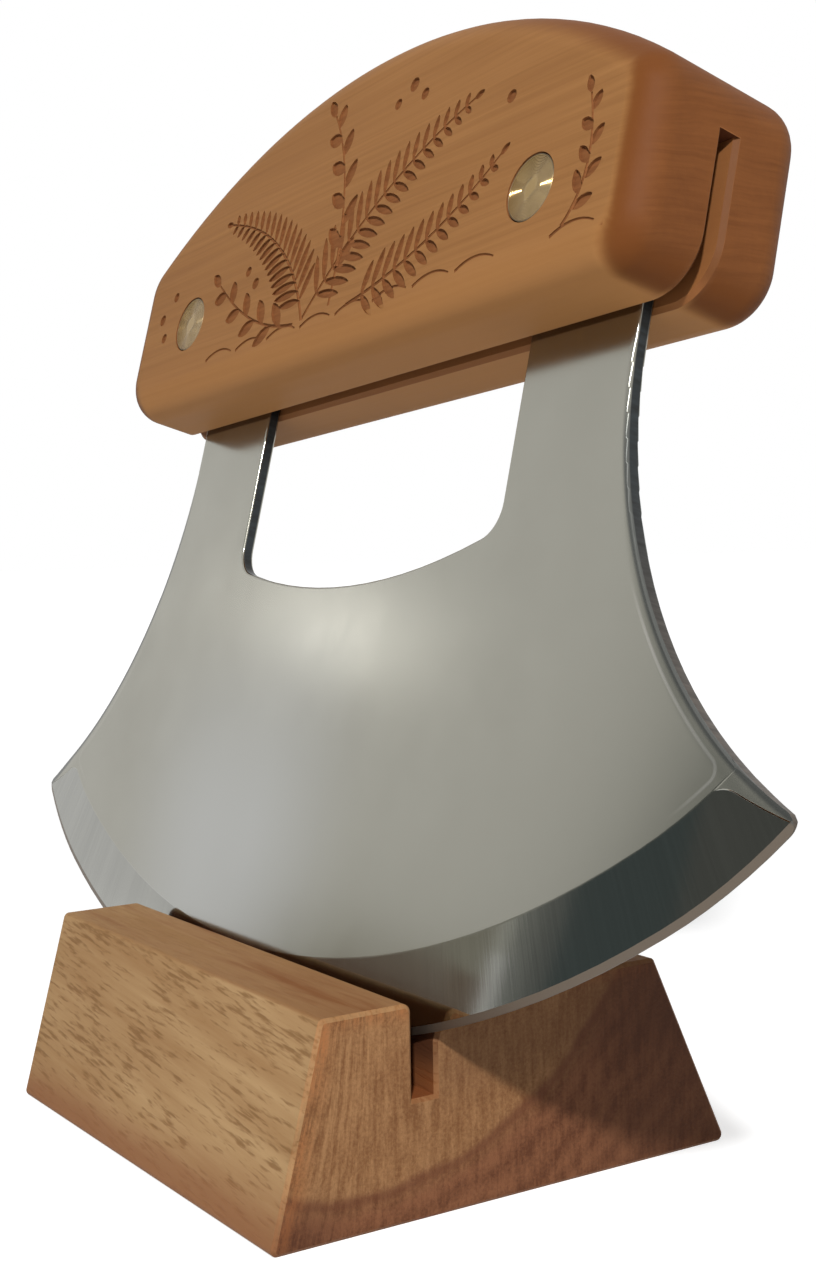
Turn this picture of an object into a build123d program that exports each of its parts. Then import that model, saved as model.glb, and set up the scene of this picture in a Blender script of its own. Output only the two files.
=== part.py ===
# Ulu knife in its wooden rest. All lengths are in millimetres, all angles in degrees.
#
# A broad steel blade with a curved cutting edge has two tangs that stand up into a kerf in an
# arched wooden handle, and a two-piece compression rivet through each tang holds the two
# together. The knife stands in the slot of a block with sloping sides, rocked a little to one
# side and leaning back against the slot's rear wall.
#
# The row's frame has its origin at the middle of the block's underside, +X to the right along
# the blade, +Y to the back and +Z up. The knife is modelled upright in a frame of its own, with
# its origin at the lowest point of the cutting edge, and is then stood in the slot.
from build123d import *
from math import acos, asin, atan2, degrees, hypot, radians, sin, sqrt, tan
import os

# Blade: one plate, cut to shape, its edges eased and its cutting edge ground from both sides.
blade_span = 152.4           # tip to tip, before the tips are rounded
blade_thickness = 1.6
belly_radius = 128.0         # middle stretch of the cutting edge
belly_share = 0.8137          # of half the span that the middle stretch takes up
shoulder_radius = 62.0       # the edge turns up more sharply towards each tip
tip_radius = 1.2
tang_outer = 45.9            # half the distance over the two tangs
tang_corner_cut = 1.5
tang_straight = 3.1          # of a tang's side, between the hollow flank and the handle
window_half_width = 28.1     # half the finger window, which is also the tangs' inner side
window_low = 52.2            # lowest point of the window above the cutting edge
window_radius = 95.0
window_corner_radius = 4.0
blade_ease = 0.25            # round on the plate's edges
bevel_width = 8.6
edge_bevel_width = 1.3       # the small second bevel along the cutting edge
edge_bevel_thickness = 0.7   # plate left where the second bevel starts
edge_land = 0.1              # plate left at the cutting edge itself

# Handle: one piece of wood with an arched back, rounded over all round.
handle_length = 108.4
handle_thickness = 21.4
handle_bottom = 77.8         # underside above the cutting edge
handle_rise = 39.4           # underside to the top of the arch
arch_radius = 91.0
handle_corner_radius = 6.0
handle_round = 4.0
kerf_depth = 16.8
kerf_clearance = 0.12        # each side of the tangs, and above them
kerf_edge_cut = 0.5          # bevel on the edges of its mouth

# Rivets: a socket from the front and a pin from the back, both with flat heads let in flush.
rivet_height = 11.3          # rivet axis above the handle's underside
rivet_share = 0.511          # of the way from a tang's inner side to its outer side
rivet_head_radius = 3.65
rivet_head_thickness = 1.3
socket_radius = 2.4
socket_end_gap = 0.6         # the socket stops short of the pin's head
pin_radius = 1.5
pin_end_gap = 1.0            # the pin stops short of the bottom of the socket
pin_clearance = 0.02
rivet_recess = 0.1           # heads below the face of the wood
rivet_head_clearance = 0.15
rivet_hole_clearance = 0.1

# Block: a trapezoid in section, with a saw slot along its top.
block_length = 63.5
block_height = 22.3
block_depth = 58.9           # over the underside
block_front_run = 6.0        # how far the front face slopes in
block_back_run = 10.4        # how far the back face slopes in
block_edge_radius = 0.7
block_end_cut = 0.4
slot_from_front = 16.6       # front of the underside to the slot's front wall
slot_width = 2.7             # over the slot's floor
slot_mouth = 4.0             # over its top, where the rear wall slopes back for the blade
slot_depth = 9.8
slot_lip_radius = 1.0

# How the knife stands in the slot.
rock_angle = 4.9             # right-hand end raised
knife_shift = 2.1            # middle of the blade to the right of the block's middle
seat_gap = 0.15              # kept clear between the blade and the slot

overrun = 2.0                # how far a cutting tool runs past the piece it cuts
same_corner = 0.01           # how near an outline's corner lies to where it is looked for

# Places that follow from the sizes above.
half_span = blade_span / 2
half_thickness = blade_thickness / 2
belly_half_length = belly_share * half_span
belly_angle = degrees(asin(belly_half_length / belly_radius))
belly_centre = Vector(0, belly_radius)
belly_end = belly_centre + Vector(0, -belly_radius).rotate(Axis.Z, belly_angle)
shoulder_centre = belly_end + (belly_centre - belly_end) * (shoulder_radius / belly_radius)
shoulder_angle = degrees(asin((half_span - shoulder_centre.X) / shoulder_radius)) - belly_angle
tip = shoulder_centre + Vector(0, -shoulder_radius).rotate(Axis.Z, belly_angle + shoulder_angle)
flank_top = handle_bottom - tang_straight
flank_run = tip.X - tang_outer
flank_radius = (flank_run**2 + (flank_top - tip.Y) ** 2) / (2 * flank_run)
flank_centre_x = tang_outer + flank_radius
flank_angle = degrees(atan2(flank_top - tip.Y, flank_centre_x - tip.X))
kerf_top = handle_bottom + kerf_depth
tang_top = kerf_top - kerf_clearance
handle_top = handle_bottom + handle_rise
rivet_x = window_half_width + rivet_share * (tang_outer - window_half_width)
rivet_z = handle_bottom + rivet_height
rivet_places = {"left": -rivet_x, "right": rivet_x}
face_y = handle_thickness / 2
head_face = face_y - rivet_recess
head_seat = head_face - rivet_head_thickness
slot_front = slot_from_front - block_depth / 2
slot_floor = block_height - slot_depth

# The lean is what the slot allows: the cutting edge stands by the front wall, and the blade's
# back face lies along the sloping upper part of the rear wall.
seat_run = slot_mouth - 2 * seat_gap
seat_rise = slot_depth - seat_gap
lean_angle = degrees(acos(half_thickness / hypot(seat_run, seat_rise)) - atan2(seat_rise, seat_run))
edge_x = knife_shift - belly_radius * sin(radians(rock_angle))
edge_y = slot_front + seat_gap
edge_z = slot_floor + seat_gap
slope_low = block_height - (slot_mouth - slot_width) / tan(radians(lean_angle))


def stand_in_slot(piece):
    """Rock a piece of the knife about the centre of its belly, lean it back and set it down."""
    rocked = Rot(0, -rock_angle, 0) * Pos(0, 0, -belly_radius) * piece
    leaned = Rot(-lean_angle, 0, 0) * Pos(0, 0, belly_radius) * rocked
    return Pos(edge_x, edge_y, edge_z) * leaned


def across(x, z, radius, y_start, y_end):
    """A round bar along Y, for the rivets and their holes."""
    bar = extrude(Circle(radius), y_end - y_start)
    return Pos(x, y_start, z) * Rot(-90, 0, 0) * bar


def mirrored_face(*lines):
    """A face whose right half is outlined by the lines, in order from the bottom to the top."""
    half = Curve() + list(lines)
    return make_face(half.edges() + mirror(half, Plane.YZ).edges())


def corners(face, x, y):
    """The face's corners at plus and minus x, at height y."""
    wanted = Vector(x, y)
    return [v for v in face.vertices() if (Vector(abs(v.X), v.Y) - wanted).length < same_corner]


def blade_outline():
    """Cutting edge, hollow flanks and tangs, each tip rounded and each tang corner cut off."""
    belly = CenterArc(belly_centre, belly_radius, -90, belly_angle)
    shoulder = CenterArc(shoulder_centre, shoulder_radius, -90 + belly_angle, shoulder_angle)
    flank = CenterArc((flank_centre_x, flank_top), flank_radius, 180, flank_angle)
    tang_side = Line((tang_outer, flank_top), (tang_outer, tang_top))
    tang_end = Line((tang_outer, tang_top), (0, tang_top))
    face = mirrored_face(belly, shoulder, flank, tang_side, tang_end)
    face = fillet(corners(face, tip.X, tip.Y), tip_radius)
    face = face - finger_window()
    tang_corners = corners(face, tang_outer, tang_top) + corners(face, window_half_width, tang_top)
    return chamfer(tang_corners, tang_corner_cut)


def finger_window():
    """The gap for the fingers: straight sides, a shallow curved bottom and rounded corners."""
    sweep = degrees(asin(window_half_width / window_radius))
    side_low = window_low + window_radius - sqrt(window_radius**2 - window_half_width**2)
    window_top = tang_top + overrun
    bottom = CenterArc((0, window_low + window_radius), window_radius, -90, sweep)
    side = Line((window_half_width, side_low), (window_half_width, window_top))
    top = Line((window_half_width, window_top), (0, window_top))
    face = mirrored_face(bottom, side, top)
    return fillet(corners(face, window_half_width, side_low), window_corner_radius)


def bevel_cutter(centre, radius, start_angle, sweep):
    """What the grinder takes off the front of one stretch of the cutting edge.

    Its section has the wide bevel and the small one at the edge, and it turns about the
    middle of that stretch's arc."""
    proud = half_thickness + overrun
    section = Polyline(
        (radius - bevel_width * proud / half_thickness, -proud),
        (radius - bevel_width, -half_thickness),
        (radius - edge_bevel_width, -edge_bevel_thickness / 2),
        (radius, -edge_land / 2),
        (radius + overrun, -edge_land / 2),
        (radius + overrun, -proud),
        close=True,
    )
    # Drawn in the plane through the arc's axis, which is parallel to Y.
    wedge = revolve(make_face(section), -Axis.Y, sweep)
    return Pos(centre.X, 0, centre.Y) * Rot(0, -start_angle, 0) * wedge


def make_blade():
    plate = extrude(Plane.XZ * blade_outline(), half_thickness, both=True)
    flats = plate.faces().sort_by(SortBy.AREA)[-2:]
    plate = fillet(flats.edges(), blade_ease)
    for x in rivet_places.values():
        hole_radius = socket_radius + rivet_hole_clearance
        plate -= across(x, rivet_z, hole_radius, -blade_thickness, blade_thickness)
    belly_sweep = 2 * belly_angle
    grinds = [bevel_cutter(belly_centre, belly_radius, -90 - belly_angle, belly_sweep)]
    shoulder_sweep = 2 * shoulder_angle
    right = bevel_cutter(shoulder_centre, shoulder_radius, -90 + belly_angle, shoulder_sweep)
    grinds += [right, mirror(right, Plane.YZ)]
    for grind in grinds:
        plate = plate - grind - mirror(grind, Plane.XZ)
    return plate


def make_handle():
    half_length = handle_length / 2
    arch_centre = handle_top - arch_radius
    arch_sweep = degrees(asin(half_length / arch_radius))
    end_top = arch_centre + sqrt(arch_radius**2 - half_length**2)
    bottom = Line((0, handle_bottom), (half_length, handle_bottom))
    end = Line((half_length, handle_bottom), (half_length, end_top))
    arch = CenterArc((0, arch_centre), arch_radius, 90 - arch_sweep, arch_sweep)
    face = mirrored_face(bottom, end, arch)
    end_corners = corners(face, half_length, handle_bottom) + corners(face, half_length, end_top)
    face = fillet(end_corners, handle_corner_radius)
    wood = extrude(Plane.XZ * face, face_y, both=True)
    wood = fillet(wood.faces().filter_by(Axis.Y).edges(), handle_round)
    kerf_width = blade_thickness + 2 * kerf_clearance
    kerf = Box(handle_length + overrun, kerf_width, kerf_depth + overrun)
    wood -= Pos(0, 0, kerf_top - (kerf_depth + overrun) / 2) * kerf
    mouth = [
        edge
        for edge in wood.edges()
        if abs(abs(edge.center().Y) - kerf_width / 2) < same_corner
        and edge.center().Z < kerf_top - same_corner
    ]
    wood = chamfer(mouth, kerf_edge_cut)
    for x in rivet_places.values():
        past = face_y + overrun
        wood -= across(x, rivet_z, socket_radius + rivet_hole_clearance, -past, past)
        head_radius = rivet_head_radius + rivet_head_clearance
        wood -= across(x, rivet_z, head_radius, head_seat, past)
        wood -= across(x, rivet_z, head_radius, -past, -head_seat)
    return wood


def make_rivet_socket(x):
    """The hollow half: a flat head at the front and a tube that reaches almost to the back."""
    tube_end = head_seat - socket_end_gap
    socket = across(x, rivet_z, rivet_head_radius, -head_face, -head_seat)
    socket += across(x, rivet_z, socket_radius, -head_seat, tube_end)
    bore_radius = pin_radius + pin_clearance
    return socket - across(x, rivet_z, bore_radius, -head_seat, tube_end + overrun)


def make_rivet_pin(x):
    """The solid half: a flat head at the back and a shank driven into the socket."""
    pin = across(x, rivet_z, rivet_head_radius, head_seat, head_face)
    return pin + across(x, rivet_z, pin_radius, -head_seat + pin_end_gap, head_seat)


def slot_section():
    """A saw slot whose rear wall slopes back at the blade's lean over its upper part."""
    return make_face(
        Polyline(
            (slot_front, slot_floor),
            (slot_front + slot_width, slot_floor),
            (slot_front + slot_width, slope_low),
            (slot_front + slot_mouth, block_height),
            (slot_front + slot_mouth, block_height + overrun),
            (slot_front, block_height + overrun),
            close=True,
        )
    )


def make_block():
    front = -block_depth / 2
    back = block_depth / 2
    face = make_face(
        Polyline(
            (front, 0),
            (back, 0),
            (back - block_back_run, block_height),
            (front + block_front_run, block_height),
            close=True,
        )
    )
    face = fillet(face.vertices(), block_edge_radius)
    face = face - slot_section()
    lips = face.vertices().group_by(Axis.Y)[-1].sort_by(Axis.X)[1:3]
    face = fillet(lips, slot_lip_radius)
    block = extrude(Plane.YZ * face, block_length / 2, both=True)
    return chamfer(block.faces().filter_by(Axis.X).edges(), block_end_cut)


pieces = {
    "stand_block": make_block(),
    "blade": stand_in_slot(make_blade()),
    "handle": stand_in_slot(make_handle()),
}
for side, x in rivet_places.items():
    pieces[side + "_rivet_socket"] = stand_in_slot(make_rivet_socket(x))
    pieces[side + "_rivet_pin"] = stand_in_slot(make_rivet_pin(x))

os.makedirs("parts", exist_ok=True)
for name, piece in pieces.items():
    export_step(piece, "parts/" + name + ".step")
print("lean", round(lean_angle, 3), "edge at", edge_x, edge_y, edge_z)
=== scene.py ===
from math import atan2, copysign, cos, hypot, pi, radians, sin, tan
import bpy
from mathutils import Matrix, Vector


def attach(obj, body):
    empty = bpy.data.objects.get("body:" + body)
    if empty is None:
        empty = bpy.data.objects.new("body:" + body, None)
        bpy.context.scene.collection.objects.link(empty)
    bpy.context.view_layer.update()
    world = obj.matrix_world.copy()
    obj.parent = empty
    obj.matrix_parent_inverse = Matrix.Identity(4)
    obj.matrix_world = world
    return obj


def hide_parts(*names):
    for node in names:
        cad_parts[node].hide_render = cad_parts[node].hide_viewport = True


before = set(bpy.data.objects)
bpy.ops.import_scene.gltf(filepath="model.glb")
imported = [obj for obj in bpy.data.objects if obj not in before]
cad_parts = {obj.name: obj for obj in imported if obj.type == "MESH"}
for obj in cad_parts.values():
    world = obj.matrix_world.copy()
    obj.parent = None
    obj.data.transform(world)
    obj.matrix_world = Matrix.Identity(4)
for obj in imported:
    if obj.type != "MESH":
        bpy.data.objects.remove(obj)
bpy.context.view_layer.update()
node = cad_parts
mm = 0.001


# The rest: one block of hardwood, a trapezoid in section, with a saw slot along its top.
# Its grain runs along the slot and dips a little to the right. The sawn ends have soaked up
# more oil and are darker, and one growth ring sweeps across them.
class Wire:
    """A value in a material's nodes. Sums written with it add the Math nodes for them."""

    def __init__(self, tree, plug=None):
        self.tree = tree
        self.plug = plug

    def node(self, kind, settings, inputs, output=0):
        """Add a node: its settings first, then the values or links of its sockets."""
        made = self.tree.nodes.new("ShaderNode" + kind)
        for name, value in settings.items():
            setattr(made, name, value)
        for name, value in inputs.items():
            socket = made.inputs[name]
            if isinstance(value, Wire):
                self.tree.links.new(value.plug, socket)
            elif socket.type == "RGBA":
                socket.default_value = (*value, 1)
            else:
                socket.default_value = value
        return Wire(self.tree, made.outputs[output])

    def math(self, operation, *others):
        """A Math node with this as its first value."""
        return self.node("Math", {"operation": operation}, dict(enumerate((self, *others))))

    def vector(self, operation, *others, output=0):
        """A Vector Math node with this as its first value."""
        inputs = dict(enumerate((self, *others)))
        return self.node("VectorMath", {"operation": operation}, inputs, output)

    def __add__(self, other):
        return self.math("ADD", other)

    def __sub__(self, other):
        return self.math("SUBTRACT", other)

    def __rsub__(self, other):
        return self.node("Math", {"operation": "SUBTRACT"}, {0: other, 1: self})

    def __mul__(self, other):
        return self.math("MULTIPLY", other)

    def __truediv__(self, other):
        return self.math("DIVIDE", other)

    def __abs__(self):
        return self.math("ABSOLUTE")

    __radd__ = __add__
    __rmul__ = __mul__

    def least(self, other):
        return self.math("MINIMUM", other)

    def most(self, other):
        return self.math("MAXIMUM", other)

    def root(self):
        return self.math("SQRT")

    def length(self):
        return self.vector("LENGTH", output="Value")

    def rise(self, low, high):
        """0 up to low and 1 from high on, smooth between; falls where low is the higher."""
        ends = {"Value": self, "From Min": low, "From Max": high}
        return self.node("MapRange", {"interpolation_type": "SMOOTHSTEP"}, ends)

    def mix(self, none, full):
        """One colour where this is 0, the other where it is 1."""
        return self.node("Mix", {"data_type": "RGBA"}, {0: self, 6: none, 7: full}, 2)

    def axis(self, name):
        return self.node("SeparateXYZ", {}, {0: self}, name)

    def noise(self, stretch, detail=2.0, rough=0.5):
        """Noise around 0, from -0.5 to 0.5, with that many blots in a millimetre each way."""
        place = self.vector("MULTIPLY", stretch)
        inputs = {"Vector": place, "Scale": 1, "Detail": detail, "Roughness": rough}
        return self.node("TexNoise", {}, inputs) - 0.5


def new_material(name, turn=None):
    """A material, its shader, and the place and normal on the piece, in millimetres.

    With a turn, both are given as they were before it, as in the knife's upright frame."""
    material = bpy.data.materials.new(name)
    material.use_nodes = True
    tree = material.node_tree
    start = Wire(tree)
    place = start.node("TexCoord", {}, {}, "Object")
    normal = start.node("TexCoord", {}, {}, "Normal")
    if turn is not None:
        angles = turn.to_euler()
        where = {"Vector": place, "Location": turn.to_translation(), "Rotation": angles}
        place = place.node("Mapping", {"vector_type": "TEXTURE"}, where)
        way = {"Vector": normal, "Rotation": angles}
        normal = normal.node("Mapping", {"vector_type": "TEXTURE"}, way)
    place = place.vector("DIVIDE", (mm, mm, mm))
    return material, tree.nodes["Principled BSDF"], place, normal


def feed(shader, inputs):
    """Set or link the inputs of a material's shader."""
    for name, value in inputs.items():
        socket = shader.inputs[name]
        if isinstance(value, Wire):
            value.tree.links.new(value.plug, socket)
        else:
            socket.default_value = value


def bump(height, strength, unit):
    """Relief from a height, which is given in units of so many millimetres."""
    inputs = {"Strength": strength, "Distance": unit * mm, "Height": height}
    return height.node("Bump", {}, inputs)


def paint(obj, material):
    for slot in obj.material_slots:
        slot.material = material


block_top = 22.3
half_depth = 29.45
front_slope = 0.27
slot_front = -12.85
slot_back = -8.85
grain_dip = radians(-5)
ring_centre = (0, -19.1, 42.3)
ring_radius = 38.9
season_width = 3.1

side_dark = (0.29, 0.155, 0.062)
side_pale = (0.43, 0.272, 0.130)
fleck_brown = (0.19, 0.092, 0.031)
top_brown = (0.205, 0.080, 0.026)
side_red = (0.235, 0.098, 0.040)
end_dark = (0.165, 0.070, 0.026)
end_pale = (0.30, 0.155, 0.067)
red_dark = (0.078, 0.024, 0.011)
red_pale = (0.165, 0.058, 0.027)
ring_brown = (0.100, 0.030, 0.014)
edge_orange = (0.33, 0.115, 0.036)
shade_and_corner_dark = (0.055, 0.020, 0.010)
slot_red = (0.178, 0.046, 0.011)
blade_shadow_dark = (0.035, 0.012, 0.006)

stand_wood, shader, place, normal = new_material("stand_wood")
x, y, z = (place.axis(name) for name in "XYZ")
end = abs(normal.axis("X")).rise(0.5, 0.95)
top = normal.axis("Z").rise(0.6, 0.95)

# Growth rings lie round a centre over the front part, and outside the dark one the wood is
# redder and darker.
grain = place.node("Mapping", {}, {"Vector": place, "Rotation": (0, grain_dip, 0)})
warp = grain.noise((0.02, 0.10, 0.10), 3)
from_centre = place.vector("SUBTRACT", ring_centre).vector("MULTIPLY", (0, 1, 1))
radius = from_centre.length() + warp * 2.6
past_ring = radius - ring_radius
ring = abs(past_ring).rise(0.95, 0.1)
red_wood = past_ring.rise(-1.8, 2.2)
turns = radius * (2 * pi / season_width) + warp * 9
season = turns.math("SINE")
fibre = grain.noise((0.05, 1.3, 1.3), 4, 0.6)
speck = place.noise((0.5, 2.6, 2.6), 3, 0.7)
cloud = grain.noise((0.03, 0.12, 0.12), 2)
streak = grain.noise((0.02, 0.45, 0.45), 3, 0.55)

# Along the grain: short brown flecks in patches, streaks, and a red band at the bottom.
patchy = grain.noise((0.06, 0.16, 0.16), 2, 0.6)
fleck = (grain.noise((0.26, 2.1, 2.1), 2.5, 0.55) + patchy * 0.4).rise(-0.02, 0.20)
tone = 0.55 + fibre + cloud * 1.3 + streak * (1.3 + top * 2.6)
side_colour = tone.mix(side_dark, side_pale)
side_colour = (fleck * (1 - top * 0.7) * 0.76).mix(side_colour, fleck_brown)
handled_top = top * (0.25 + x.rise(-25, 30) * 0.35 + streak * 2.4)
side_colour = handled_top.mix(side_colour, top_brown)
red_band = (past_ring + streak * 6).rise(-2.5, 3.5) * (1 - top)
side_colour = (red_band * 0.85).mix(side_colour, side_red)

# Across the grain: saw lines that lean as the front face does, mottling, and patches of painted
# shade.
near_front = y.rise(-14, -25)
sawn = {0: y - z * near_front * front_slope, 1: z}
sawn_across = place.node("CombineXYZ", {}, sawn)
saw_lines = sawn_across.noise((1.3, 0.12, 1), 3, 0.65) * (1 + near_front * 0.9)
mottle = sawn_across.noise((0.75, 0.38, 1), 2, 0.55)
end_tone = 0.5 + saw_lines * 1.7 + speck * 1.7 + mottle * 1.1 + cloud * 0.9
end_tone = end_tone + season * red_wood * 0.22
red_colour = end_tone.mix(red_dark, red_pale)
end_colour = (red_wood * 0.8).mix(end_tone.mix(end_dark, end_pale), red_colour)
end_colour = (ring * 0.55).mix(end_colour, ring_brown)
from_front = y - z * front_slope + half_depth
by_edge = from_front.rise(3.4, 0.3).most(z.rise(block_top - 2.3, block_top - 0.1))
end_colour = (by_edge * (0.3 + saw_lines * 1.4 + speck)).mix(end_colour, edge_orange)
# Painted shade on the end, where the blade's shadow falls behind the slot and towards the back;
# low down at the front the end is darker too.
painted_shade_behind_slot = z.rise(9, 16) * y.rise(-13, -7)
dark_low_in_front = z.rise(8, 1) * y.rise(-18, -26)
painted_shade_at_back = y.rise(4, 22)
painted_shade_and_dark_corner = painted_shade_behind_slot * 0.34 + dark_low_in_front * 0.42 + painted_shade_at_back * 0.4
end_colour = painted_shade_and_dark_corner.mix(end_colour, shade_and_corner_dark)
colour = end.mix(side_colour, end_colour)

in_slot = y.rise(slot_front - 0.35, slot_front - 0.05) * z.rise(block_top - 0.1, block_top - 0.9)
in_slot = in_slot * y.rise(slot_back + 0.65, slot_back + 0.25) * (1 - end)
# Painted shadow: the upper part of the slot's rear wall, behind the blade, is painted near black.
painted_shadow_behind_blade = in_slot * z.rise(13, 17) * y.rise(slot_front - 0.15, slot_front + 0.25)
colour = (in_slot * 0.85).mix(colour, slot_red)
colour = (painted_shadow_behind_blade * 0.8).mix(colour, blade_shadow_dark)
relief = 0.5 + fibre * 0.5 - fleck * 0.4 + speck * 0.3 + saw_lines * end * 0.8
feed(shader, {
    "Base Color": colour,
    "Roughness": 0.68 + speck * 0.1,
    "Normal": bump(relief, 0.5, 0.12),
    "Specular IOR Level": 0.15,
})
paint(node["stand_block"], stand_wood)


# The blade: a stainless plate, cut to shape, satin all over. Each side of the cutting edge is
# ground to a wide bevel and a narrow one, its flanks are rolled over a little where they
# were sheared, and the cut sides are left rough.
lean = radians(16.538285)
rock = radians(4.9)
edge_point = (-8.83336616, -12.7, 12.65)
half_plate = 0.8
belly_radius = 128.0
belly_angle = radians(28.98)
shoulder_centre = (31.97, 70.26)
shoulder_radius = 62.0
flank_centre = (98.89, 74.7)
flank_radius = 52.99
wide_bevel_width = 8.6
cad_bevel_width = 1.3
cad_bevel_depth = 0.35
small_bevel_width = 0.75
small_bevel_depth = 0.32
edge_depth = 0.05
cut_depth = 0.55

satin_dark = (0.288, 0.280, 0.238)
satin_light = (0.360, 0.354, 0.306)
sheen_pale = (0.415, 0.418, 0.398)
ground_dark = (0.25, 0.25, 0.23)
ground_light = (0.36, 0.36, 0.33)
small_bevel_brown = (0.158, 0.130, 0.103)
highlight_grey = (0.60, 0.58, 0.54)
reflection_dark_slate = (0.085, 0.092, 0.092)
reflected_dark_blue = (0.060, 0.072, 0.078)
cut_brown = (0.20, 0.165, 0.135)
cut_dark = (0.025, 0.023, 0.020)

# From the knife's own frame, upright with the origin at the lowest point of its edge, the
# knife is rocked about the middle of its belly, leaned back and stood in the slot.
knife_turn = (
    Matrix.Translation(Vector(edge_point) * mm)
    @ Matrix.Rotation(-lean, 4, "X")
    @ Matrix.Translation((0, 0, belly_radius * mm))
    @ Matrix.Rotation(-rock, 4, "Y")
    @ Matrix.Translation((0, 0, -belly_radius * mm))
)

blade_steel, shader, place, normal = new_material("blade_steel", knife_turn)
x, y, z = (place.axis(name) for name in "XYZ")
depth = abs(y)
facing = abs(normal.axis("Y"))


def reach(across, up):
    """How far off a point is that lies so far across and so far up."""
    return (across * across + up * up).root()


# Where a point lies: how far in from the hollow flank and from the shoulder's edge, and how
# far below the upper border of the wide bevel.
to_flank = reach(abs(x) - flank_centre[0], (z - flank_centre[1]).least(0)) - flank_radius
to_edge = shoulder_radius - reach(abs(x) - shoulder_centre[0], z - shoulder_centre[1])
below = wide_bevel_width - to_edge
cut_side = depth.rise(cut_depth + 0.07, cut_depth - 0.07) * facing.rise(0.75, 0.45)
small_bevel = depth.rise(small_bevel_depth + 0.01, small_bevel_depth)
small_bevel = small_bevel * facing.rise(0.84, 0.9) * facing.rise(0.99, 0.975)
wide_bevel = depth.rise(half_plate - 0.003, half_plate - 0.015) * facing.rise(0.98, 0.99)
wide_bevel = wide_bevel * (1 - small_bevel)

# The wide bevel stops short of the flank at each tip, with a rounded upper corner.
end_corner = 1.8
end_margin = 2.2
end_slant = 0.21
from_end = to_flank - end_margin + below * end_slant
within = end_corner - reach((end_corner - below).most(0), (end_corner - from_end).most(0))
end_fill = wide_bevel * within.rise(0.08, -0.08) * abs(x).rise(52, 56)
wide_bevel = wide_bevel - end_fill
flat = (1 - wide_bevel) * (1 - small_bevel)

# The flat rolls over towards the flanks, and along them a dark line is painted as a reflection. A
# painted highlight, a bright line, runs round the flat's lower corners, most of all the right one.
roll_depth = 0.05
roll_width = 0.9 + z.rise(70, 30) * 1.1
roll = (1 - to_flank / roll_width).most(0) * flat
eased = facing.rise(0.985, 0.93) * to_flank.rise(0.8, 0.5) * z.rise(71, 64)
painted_dark_reflection_line = (to_flank.rise(0.85, 0.35) * z.rise(74, 60) * flat).most(eased)
flat_corner = 1.6
flat_margin = 1.4
above_bevel = 0.9
in_from_roll = (flat_corner + flat_margin - to_flank).most(0)
up_from_bevel = (flat_corner + above_bevel + below).most(0)
from_corner = abs(reach(in_from_roll, up_from_bevel) - flat_corner)
painted_corner_highlight = from_corner.rise(0.28, 0.05) * depth.rise(half_plate - 0.01, half_plate - 0.003)
painted_corner_highlight = painted_corner_highlight * to_flank.rise(9, 3) * z.rise(50, 42)
painted_corner_highlight = painted_corner_highlight * (0.15 + x.rise(-10, 10) * 0.85)

# Blotches and scuffs lie all over, and scratches across the bevel, side by side along the
# edge's arc.
mottle = place.noise((0.045, 0.045, 0.045), 4, 0.55)
blotch = place.noise((0.11, 0.11, 0.11), 3, 0.5)
scuff = place.noise((0.9, 0.9, 0.9), 3, 0.6)
rough_cut = place.noise((1.2, 0.2, 1.2), 4, 0.7)
angle = x.math("ARCTAN2", belly_radius - z)
along = place.node("CombineXYZ", {}, {0: angle * belly_radius, 1: y, 2: z * 0.05})
scratch = along.noise((3.0, 0.3, 0.3), 4, 0.6)
broad = along.noise((0.25, 0.1, 0.1), 2, 0.5)

flat_colour = (0.5 + mottle * 0.9 + blotch * 0.5).mix(satin_dark, satin_light)
# Painted sheen: a lighter, less yellow patch over the lower left of the flat.
pale = x.rise(-52, -22) * x.rise(14, -14) * z.rise(54, 20)
flat_colour = pale.mix(flat_colour, sheen_pale)
bevel_colour = (0.5 + scratch * 0.9 + broad * 0.5).mix(ground_dark, ground_light)
# The cut sides are painted dark slate high up, a painted reflection, and browner low down,
# blotched where rough.
cut_colour = z.rise(62, 30).mix(reflected_dark_blue, cut_brown)
cut_colour = (0.5 + rough_cut * 1.4).mix(cut_dark, cut_colour)
colour = wide_bevel.mix(flat_colour, bevel_colour)
colour = small_bevel.mix(colour, small_bevel_brown)
colour = (painted_corner_highlight * 0.5).mix(colour, highlight_grey)
colour = (painted_dark_reflection_line * 0.8).mix(colour, reflection_dark_slate)
colour = cut_side.mix(colour, cut_colour)
satin = 0.175 + mottle * 0.12 + blotch * 0.06 + scuff * 0.02
polish = 0.055 + x.rise(35, 30) * 0.05
roughness = satin * (1 - wide_bevel) + wide_bevel * polish
roughness = roughness + cut_side * 0.2 + small_bevel * 0.32 + roll * 0.10
texture = scratch * 0.0012 * wide_bevel + rough_cut * cut_side * 0.03
relief = texture - roll * roll * roll_width * roll_depth + end_fill * (half_plate - depth)
feed(shader, {
    "Base Color": colour,
    "Metallic": 1.0,
    "Roughness": roughness,
    "Normal": bump(relief, 1.0, 1.0),
})


def pick(obj):
    bpy.ops.object.select_all(action="DESELECT")
    obj.select_set(True)
    bpy.context.view_layer.objects.active = obj


def apply_modifiers(obj):
    pick(obj)
    for modifier in list(obj.modifiers):
        bpy.ops.object.modifier_apply(modifier=modifier.name)


def merge_doubles(obj):
    pick(obj)
    bpy.ops.object.mode_set(mode="EDIT")
    bpy.ops.mesh.select_all(action="SELECT")
    bpy.ops.mesh.remove_doubles(threshold=0.0005)
    bpy.ops.object.mode_set(mode="OBJECT")


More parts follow.
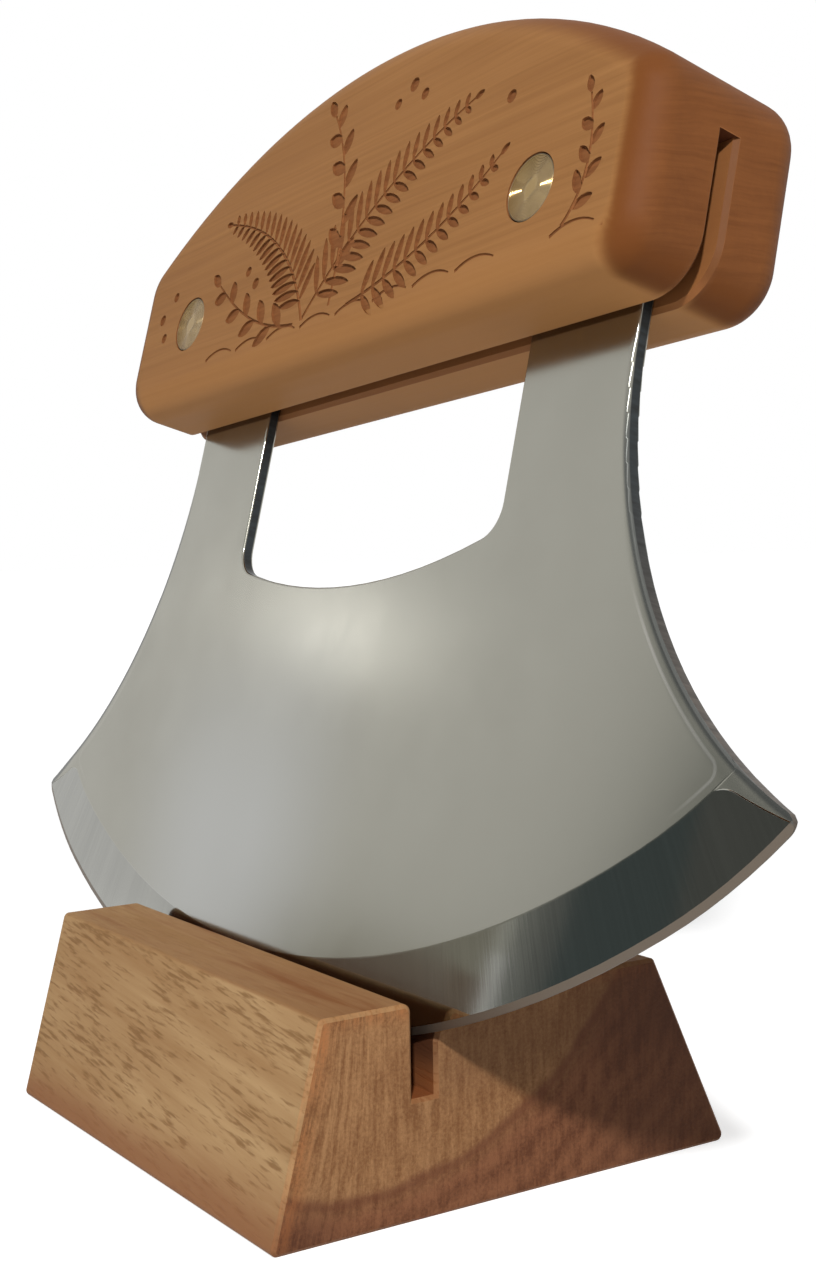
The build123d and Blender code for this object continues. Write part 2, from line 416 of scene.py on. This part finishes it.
def merged_copy(name, piece_name):
    """A copy of a piece of the knife, upright and in millimetres, with its facets joined."""
    piece = node[name].copy()
    piece.data = node[name].data.copy()
    piece.name = piece_name
    for mark in list(piece.keys()):  # those by which the frame knows its own nodes
        del piece[mark]
    piece.parent = None
    bpy.context.scene.collection.objects.link(piece)
    piece.data.transform(knife_turn.inverted())
    piece.data.transform(Matrix.Scale(1 / mm, 4))
    pick(piece)
    bpy.ops.mesh.customdata_custom_splitnormals_clear()
    merge_doubles(piece)
    return piece


def shade(piece):
    """Even out the shading of flat faces, then put the piece back in its place."""
    even = piece.modifiers.new("flat faces", "WEIGHTED_NORMAL")
    even.keep_sharp = True
    apply_modifiers(piece)
    piece.data.transform(knife_turn @ Matrix.Scale(mm, 4))


def from_edge(v):
    """How far a point is from the cutting edge, and the way that leads straight to it."""
    if abs(v.x) < tan(belly_angle) * (belly_radius - v.z):
        spoke = Vector((v.x, 0, v.z - belly_radius))
        return belly_radius - spoke.length, spoke.normalized()
    spoke = Vector((v.x - copysign(shoulder_centre[0], v.x), 0, v.z - shoulder_centre[1]))
    return shoulder_radius - spoke.length, spoke.normalized()


def grind_edge(piece):
    """Narrow the small bevel: its upper border moves down along the wide bevel's own plane.

    At each tip the border ends on the flank, so there the points in its way join it."""
    slope = (half_plate - cad_bevel_depth) / (wide_bevel_width - cad_bevel_width)
    moved = cad_bevel_width - small_bevel_width
    border_depth = cad_bevel_depth - moved * slope
    near = 0.01
    flank_zone = 1.2
    tip_zone = 60
    border, ends = [], {-1: [], 1: []}
    for v in piece.data.vertices:
        gap, _ = from_edge(v.co)
        if gap > cad_bevel_width + near or abs(v.co.y) > cad_bevel_depth + near:
            continue
        across = abs(v.co.x) - flank_centre[0]
        flank = hypot(across, min(v.co.z - flank_centre[1], 0)) - flank_radius
        if flank < flank_zone and abs(v.co.x) > tip_zone:
            ends[copysign(1, v.co.x)].append((gap, v))
        elif gap > small_bevel_width:
            border.append(v)
    for v in border:
        v.co += from_edge(v.co)[1] * moved
        v.co.y = copysign(border_depth, v.co.y)
    for row in ends.values():
        row.sort(key=lambda entry: entry[0])
        low = [entry for entry in row if entry[0] <= small_bevel_width][-1]
        high = [entry for entry in row if entry[0] > small_bevel_width][0]
        share = (small_bevel_width - low[0]) / (high[0] - low[0])
        corner = low[1].co.lerp(high[1].co, share)
        for gap, v in row:
            if gap > small_bevel_width:
                v.co = (corner.x, copysign(border_depth, v.co.y), corner.z)
            elif gap > near:
                deep = edge_depth + (border_depth - edge_depth) * gap / small_bevel_width
                v.co.y = copysign(deep, v.co.y)
    merge_doubles(piece)


blade = merged_copy("blade", "ground_blade")
grind_edge(blade)
bpy.ops.object.shade_smooth_by_angle(angle=radians(55))
beside_edge = {}
for face in blade.data.polygons:
    for key in face.edge_keys:
        beside_edge.setdefault(key, []).append(face.normal)
for edge in blade.data.edges:
    normals = beside_edge[edge.key]
    broadside = all(abs(n.y) > 0.9 for n in normals)
    if broadside and normals[0].angle(normals[1]) > radians(0.6):
        edge.use_edge_sharp = True
shade(blade)
paint(blade, blade_steel)
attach(blade, "knife")
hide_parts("blade")


# The handle: one piece of pale hardwood with its grain along it, sanded and oiled, so that the
# end grain is darker. The front is engraved by burning: the marks are shallow pockets with
# scorched floors. The picture is made of fern fronds, sprigs of leaves, berries and ripples.
face_y = -10.7
burn_depth = 0.32
handle_low = 77.8
kerf_half = 0.92
kerf_top = handle_low + 16.8
arch_centre = 26.2
arch_flat = 87.0
flat_half_length = 50.2
rivet_reach = 37.196

front_dark = (0.222, 0.096, 0.029)
front_pale = (0.330, 0.156, 0.053)
underlit_pale = (0.41, 0.192, 0.064)
grain_end_dark = (0.105, 0.034, 0.009)
grain_end_pale = (0.195, 0.070, 0.020)
rounded_orange = (0.135, 0.041, 0.007)
kerf_brown = (0.225, 0.086, 0.028)
kerf_mouth_brown = (0.125, 0.045, 0.013)
kerf_top_shade_dark = (0.060, 0.014, 0.006)
scorch_dark = (0.13, 0.045, 0.015)
scorch_pale = (0.27, 0.105, 0.036)

handle_wood, shader, place, normal = new_material("handle_wood", knife_turn)
x, y, z = (place.axis(name) for name in "XYZ")
warp = place.noise((0.012, 0.05, 0.06), 3)
ringed = place.node("CombineXYZ", {}, {0: x, 1: y, 2: z - y * 0.25 + warp * 4})
rings = ringed.noise((0.012, 0.07, 1.7), 3, 0.7)
fibre = place.noise((0.035, 1.1, 1.1), 4, 0.6)
fine = place.noise((0.08, 4.5, 4.5), 3, 0.6)
cloud = place.noise((0.018, 0.09, 0.09), 2)

# The sides, paler low down, with painted light on the underside, and the darker end grain and
# rounded ends.
end_ways = abs(normal.axis("X"))
end = end_ways.rise(0.06, 0.55)
# Painted light: faces turned downwards are made paler, as if lit from below.
low = z.rise(86, 79) * 0.5 + normal.axis("Z").rise(-0.2, -0.8) * 0.5
tone = 0.48 + rings * 1.1 + fibre * 0.5 + fine * 0.25 + cloud
side_colour = (low * 0.75).mix(tone.mix(front_dark, front_pale), underlit_pale)
end_tone = 0.5 + rings * 0.95 + fibre * 0.3 + cloud * 0.9
end_colour = end_tone.mix(grain_end_dark, grain_end_pale)
rounded = end_ways.rise(0.04, 0.40) * end_ways.rise(0.98, 0.70) * abs(y).rise(1.4, 2.2)
colour = (rounded * 0.85).mix(end.mix(side_colour, end_colour), rounded_orange)

# The kerf's walls, the bevelled edges of its mouth, and its top, which is painted dark as painted
# shade.
in_kerf = abs(y).rise(kerf_half + 0.58, kerf_half + 0.5) * z.rise(kerf_top + 0.15, kerf_top + 0.05)
kerf_mouth = in_kerf * end_ways.rise(0.4, 0.6) * end_ways.rise(0.95, 0.85)
shaded_kerf_top = in_kerf * normal.axis("Z").rise(-0.5, -0.9) * z.rise(kerf_top - 4.8, kerf_top - 2.8)
colour = (in_kerf * 0.85).mix(colour, kerf_brown)
colour = (kerf_mouth * 0.85).mix(colour, kerf_mouth_brown)
colour = (shaded_kerf_top * 0.85).mix(colour, kerf_top_shade_dark)

# The floors of the engraving are scorched, unevenly from one pass of the burner to the next.
from_arch = place.vector("SUBTRACT", (0, 0, arch_centre)).vector("MULTIPLY", (1, 0, 1))
on_flat = from_arch.length().rise(arch_flat + 0.1, arch_flat)
on_flat = on_flat * z.rise(handle_low + 3.9, handle_low + 4.0)
on_flat = on_flat * abs(x).rise(flat_half_length, flat_half_length - 0.1)
burnt = (y - face_y).rise(0.02, 0.08) * y.rise(face_y + 3, face_y + 2) * on_flat
passes = place.noise((0.25, 0.25, 2.2), 3, 0.6)
scorched = (0.5 + passes * 1.3).mix(scorch_dark, scorch_pale)
colour = burnt.mix(colour, scorched)
relief = 0.5 + fibre * 0.5 + fine * 0.4
feed(shader, {
    "Base Color": colour,
    "Roughness": 0.6 + fibre * 0.12 + burnt * 0.25,
    "Normal": bump(relief, 0.35, 0.08),
    "Specular IOR Level": 0.12,
})

# The flat forms that cut the picture: a pointed leaf 1 mm long and wide, from its stalk at the
# origin along +X, and a dot of 1 mm radius.
bpy.ops.object.select_all(action="DESELECT")
bpy.ops.mesh.primitive_circle_add(vertices=14, radius=0.5, fill_type="NGON")
leaf = bpy.context.object
for v in leaf.data.vertices:
    v.co.x += 0.5
    v.co.y *= (4 * v.co.x * (1 - v.co.x) + 0.001) ** 0.25
bpy.ops.object.select_all(action="DESELECT")
bpy.ops.mesh.primitive_circle_add(vertices=12, radius=1, fill_type="NGON")
dot = bpy.context.object
cutters = []


def stamp(form, x, z, angle, length, width):
    """A copy of a flat form, laid on the handle's front and cut into it."""
    piece = form.copy()
    piece.data = form.data.copy()
    bpy.context.scene.collection.objects.link(piece)
    proud = 1
    lay = Matrix((
        (cos(angle), -sin(angle), 0, x),
        (0, 0, 1, face_y - proud),
        (sin(angle), cos(angle), 0, z),
        (0, 0, 0, 1),
    ))
    piece.data.transform(lay @ Matrix.Diagonal((length, width, 1, 1)))
    pick(piece)
    bpy.ops.object.mode_set(mode="EDIT")
    bpy.ops.mesh.select_all(action="SELECT")
    push = {"value": (0, proud + burn_depth, 0)}
    bpy.ops.mesh.extrude_region_move(TRANSFORM_OT_translate=push)
    bpy.ops.mesh.select_all(action="SELECT")
    bpy.ops.mesh.normals_make_consistent(inside=False)
    bpy.ops.object.mode_set(mode="OBJECT")
    cutters.append(piece)


def curve_point(points, t):
    """A point on the curve that three points pull, and the way it runs there."""
    (ax, az), (bx, bz), (cx, cz) = points
    x = (1 - t) ** 2 * ax + 2 * t * (1 - t) * bx + t * t * cx
    z = (1 - t) ** 2 * az + 2 * t * (1 - t) * bz + t * t * cz
    way = atan2((1 - t) * (bz - az) + t * (cz - bz), (1 - t) * (bx - ax) + t * (cx - bx))
    return x, z, way


def stroke(points, width, steps=14):
    """A groove along the curve that three points pull, thinner towards its end."""
    line = bpy.data.curves.new("stroke", "CURVE")
    line.dimensions = "3D"
    line.bevel_depth = width / 2
    line.bevel_resolution = 1
    line.use_fill_caps = True
    spline = line.splines.new("POLY")
    spline.points.add(steps)
    for i, point in enumerate(spline.points):
        x, z, _ = curve_point(points, i / steps)
        point.co = (x, face_y, z, 1)
        point.radius = 1 - 0.45 * i / steps
    piece = bpy.data.objects.new("stroke", line)
    bpy.context.scene.collection.objects.link(piece)
    pick(piece)
    bpy.ops.object.convert(target="MESH")
    cutters.append(bpy.context.object)


def frond(points, pairs, longest):
    """A fern frond: a stem with leaflets on both sides that get shorter towards its tip."""
    slant = radians(58)
    widest = 1.25
    stroke(points, 0.6)
    for i in range(pairs):
        t = 0.10 + 0.88 * i / pairs
        x, z, way = curve_point(points, t)
        length = longest * (1 - t) ** 0.75 * (0.55 + 0.45 * min(1, 6 * t)) + 0.8
        width = widest * (0.55 + 0.45 * length / longest)
        for turn in (slant, -slant):
            stamp(leaf, x, z, way + turn, length, width)
    x, z, way = curve_point(points, 0.97)
    stamp(leaf, x, z, way, 1.8, 0.9)


def sprig(points, leaves, length, width):
    """A stem with leaves set one after another on alternate sides."""
    slant = radians(42)
    stroke(points, 0.55)
    for i in range(leaves):
        x, z, way = curve_point(points, 0.15 + 0.85 * i / leaves)
        turn = slant if i % 2 else -slant
        stamp(leaf, x, z, way + turn, length * (1 - 0.35 * i / leaves), width)
    x, z, way = curve_point(points, 1)
    stamp(leaf, x, z, way, length * 0.7, width * 0.8)


frond([(-6, 83.4), (6, 98), (25, 103.5)], 17, 6.2)
frond([(-6, 83.4), (-13, 98), (-31, 102)], 16, 5.6)
frond([(4, 83.2), (20, 86), (31.5, 95)], 13, 4.6)
sprig([(-8, 83.2), (-19, 84), (-30, 93)], 8, 4.6, 1.9)
sprig([(0, 84), (1, 100), (-7, 110.5)], 9, 4.6, 1.9)
sprig([(43.6, 83.2), (48.2, 88), (45, 97.2)], 7, 3.2, 1.4)
berries = (
    (10.5, 109.2, 0.9), (13.2, 107.2, 0.75), (7.6, 107.6, 0.7),
    (-20, 91.2, 0.8), (-22.6, 93.4, 0.7), (31, 101.2, 0.8),
    (-44.6, 88.4, 0.7), (-46.2, 91.4, 0.8), (-43.2, 94.2, 0.7),
)
for x, z, size in berries:
    stamp(dot, x, z, 0, size, size)
half_ripple = 3.4
clear_of_rivet = 6.6
for x in range(-46, 46, 8):
    middle = x + half_ripple
    if abs(abs(middle) - rivet_reach) > clear_of_rivet:
        height = 84.2 if x % 16 else 81.9
        stroke([(x, 82.4), (middle, height), (middle + half_ripple, 82.6)], 0.5, 8)

pick(cutters[0])
for piece in cutters:
    piece.select_set(True)
bpy.ops.object.join()
cutter = bpy.context.object
for form in (leaf, dot):
    bpy.data.objects.remove(form)

handle = merged_copy("handle", "engraved_handle")
cut = handle.modifiers.new("engraving", "BOOLEAN")
cut.operation = "DIFFERENCE"
cut.solver = "EXACT"
cut.use_self = True
cut.object = cutter
apply_modifiers(handle)
bpy.data.objects.remove(cutter)
bpy.ops.object.shade_smooth_by_angle(angle=radians(28))
shade(handle)
paint(handle, handle_wood)
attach(handle, "knife")
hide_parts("handle")


# The rivets: a socket from the front and a pin from the back through handle and tang. Their
# heads are let in a little below the wood, and their faces are turned, with fine rings.
rivet_height = 89.1
head_radius = 3.65
ring_pitch = 0.16
ring_tilt = 1.35
metal_dark = (0.28, 0.180, 0.068)
metal_pale = (0.39, 0.275, 0.122)
rim_dark = (0.20, 0.15, 0.09)

for side_name, rivet_x in (("left", -rivet_reach), ("right", rivet_reach)):
    head_turn = knife_turn @ Matrix.Translation((rivet_x * mm, 0, rivet_height * mm))
    rivet_metal, shader, place, normal = new_material(side_name + "_rivet_metal", head_turn)
    across = place.vector("MULTIPLY", (1, 0, 1))
    from_axis = across.length()
    outward = across.vector("NORMALIZE")
    face = abs(normal.axis("Y")).rise(0.8, 0.95)
    turned = from_axis * (2 * pi / ring_pitch)
    wave = turned.math("SINE") * face * from_axis.rise(0.5, 1.9) * ring_tilt
    tilt = outward.node("VectorMath", {"operation": "SCALE"}, {0: outward, "Scale": wave})
    way = {"Vector": tilt, "Rotation": knife_turn.to_euler()}
    tilt = tilt.node("Mapping", {"vector_type": "VECTOR"}, way)
    true_normal = place.node("NewGeometry", {}, {}, "Normal")
    bent_normal = true_normal.vector("ADD", tilt).vector("NORMALIZE")
    stain = place.noise((0.4, 0.4, 0.4), 3, 0.5)
    rim = from_axis.rise(head_radius - 0.17, head_radius - 0.03)
    colour = rim.mix((0.5 + stain * 0.8).mix(metal_dark, metal_pale), rim_dark)
    feed(shader, {
        "Base Color": colour,
        "Metallic": 1.0,
        "Roughness": 0.15 + stain * 0.05 + rim * 0.3,
        "Normal": bent_normal,
    })
    for half in ("socket", "pin"):
        paint(node[side_name + "_rivet_" + half], rivet_metal)


# The floor, the lamps and the camera. The floor and the world glow white where the camera or a
# gloss sees them. To other light the floor is only pale and the world dim, so that the lamps
# give the piece its shades.
floor_grey = 0.55
floor_bounce = 0.9
near_glow = 0.70
far_glow = 1.0
world_grey = 0.16
white = (1, 1, 1)


def in_plain_sight(start):
    """1 for what the camera, a gloss or a glass sees, and 0 for the light that falls on it."""
    seen = start.node("LightPath", {}, {}, "Is Camera Ray")
    for ray in ("Is Glossy Ray", "Is Transmission Ray"):
        seen = seen.most(start.node("LightPath", {}, {}, ray))
    return seen


bpy.ops.object.select_all(action="DESELECT")
bpy.ops.mesh.primitive_plane_add(size=8)
floor = bpy.context.object
floor.name = "floor"
floor_paint = bpy.data.materials.new("floor")
floor_paint.use_nodes = True
tree = floor_paint.node_tree
tree.nodes.remove(tree.nodes["Principled BSDF"])
start = Wire(tree)
spot = start.node("TexCoord", {}, {}, "Object")
away = spot.length().rise(0.15, 0.7)
strength = away * (far_glow - near_glow) + near_glow
glow = start.node("Emission", {}, {"Color": white, "Strength": strength})
matt = start.node("BsdfDiffuse", {}, {"Color": (floor_grey,) * 3})
bright = start.node("AddShader", {}, {0: matt, 1: glow})
dull = start.node("BsdfDiffuse", {}, {"Color": (floor_bounce,) * 3})
both = start.node("MixShader", {}, {0: in_plain_sight(start), 1: dull, 2: bright})
tree.links.new(both.plug, tree.nodes["Material Output"].inputs["Surface"])
floor.data.materials.append(floor_paint)

world = bpy.data.worlds.new("studio")
bpy.context.scene.world = world
world.use_nodes = True
tree = world.node_tree
strength = in_plain_sight(Wire(tree)) * (1 - world_grey) + world_grey
tree.links.new(strength.plug, tree.nodes["Background"].inputs["Strength"])
tree.nodes["Background"].inputs["Color"].default_value = (*white, 1)


def lamp(name, place, size, power):
    """A square lamp that looks at the middle of the blade."""
    light = bpy.data.lights.new(name, "AREA")
    light.size = size
    light.energy = power
    obj = bpy.data.objects.new(name, light)
    bpy.context.scene.collection.objects.link(obj)
    obj.location = Vector(place) * mm
    aim = Vector((0, 0, 60)) * mm - obj.location
    obj.rotation_euler = aim.to_track_quat("-Z", "Y").to_euler()


lamp("key", (616, -461, 614), 0.05, 9.5)
lamp("left", (-1100, -590, 370), 0.07, 0.045)


def board(name, ends, heights, colour):
    """A glowing upright board from one end to the other. Only gloss sees it."""
    bpy.ops.object.select_all(action="DESELECT")
    bpy.ops.mesh.primitive_plane_add(size=1)
    made = bpy.context.object
    made.name = name
    corners = [(*end, height) for height in heights for end in ends]
    for v, corner in zip(made.data.vertices, corners):
        v.co = Vector(corner) * mm
    board_paint = bpy.data.materials.new(name)
    board_paint.use_nodes = True
    tree = board_paint.node_tree
    tree.nodes.remove(tree.nodes["Principled BSDF"])
    plain = Wire(tree).node("Emission", {}, {"Color": colour, "Strength": 1})
    tree.links.new(plain.plug, tree.nodes["Material Output"].inputs["Surface"])
    made.data.materials.append(board_paint)
    for ray in ("camera", "diffuse", "shadow", "transmission", "volume_scatter"):
        setattr(made, "visible_" + ray, False)


# Dark and bright boards stand edge to edge to the left of the piece, as studios use them to
# give polished steel a dark side with a glint beside it. These are the places where they meet.
joins = (
    (-850, -520),
    (-720.2, -657.4),
    (-712.9, -665.7),
    (-701, -679.1),
    (-689.3, -691.8),
    (-630, -745),
    (-530, -830),
)
for name, first, heights, colour in (
    ("low_board", 0, (0, 44), (0.17, 0.105, 0.075)),
    ("brown_board", 0, (44, 70), (0.27, 0.21, 0.16)),
    ("dull_board", 0, (70, 125), (0.42, 0.40, 0.33)),
    ("high_board", 1, (90, 600), (0.72, 0.72, 0.66)),
    ("middle_board", 2, (0, 600), (0.30, 0.31, 0.29)),
    ("slate_board", 3, (0, 600), (0.20, 0.21, 0.20)),
    ("dark_board", 4, (0, 600), (0.105, 0.130, 0.132)),
    ("grey_board", 5, (0, 600), (0.145, 0.150, 0.142)),
):
    board(name, (joins[first], joins[first + 1]), heights, colour)

bpy.ops.object.camera_add()
camera = bpy.context.object
camera.location = (0.18046, -0.110208, 0.06883)
camera.rotation_euler = (radians(86.7195), radians(0.955), radians(56.6644))
camera.data.lens = 50.7517
camera.data.sensor_width = 36
camera.data.clip_start = 0.01
bpy.context.scene.camera = camera
bpy.context.scene.view_settings.view_transform = "Standard"
